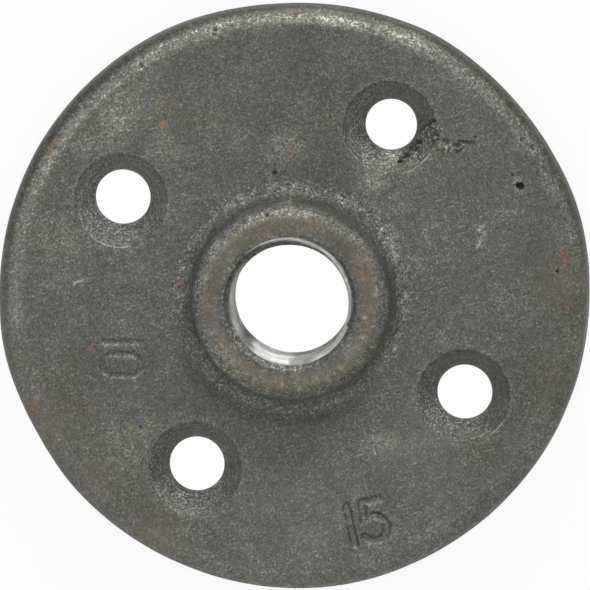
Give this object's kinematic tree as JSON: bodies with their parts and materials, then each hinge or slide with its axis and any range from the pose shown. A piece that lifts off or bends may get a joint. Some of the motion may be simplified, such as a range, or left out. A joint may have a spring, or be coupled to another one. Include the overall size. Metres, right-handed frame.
{
  "type": "threaded floor flange",
  "caption": "Round cast iron floor flange with a low threaded hub for a pipe and countersunk screw holes that fix it to a floor, wall or ceiling.",
  "frame": {"origin": "centre of the flat back face, on the axis of the bore", "axes": "+Z along the bore, out of the hub's mouth; +X and +Y pass between the screw holes"},
  "size_m": [0.0762, 0.0762, 0.0127],
  "materials": {
    "cast_iron": "matte"
  },
  "bodies": {
    "root": {"floor_flange": "cast_iron"}
  },
  "joints": []
}
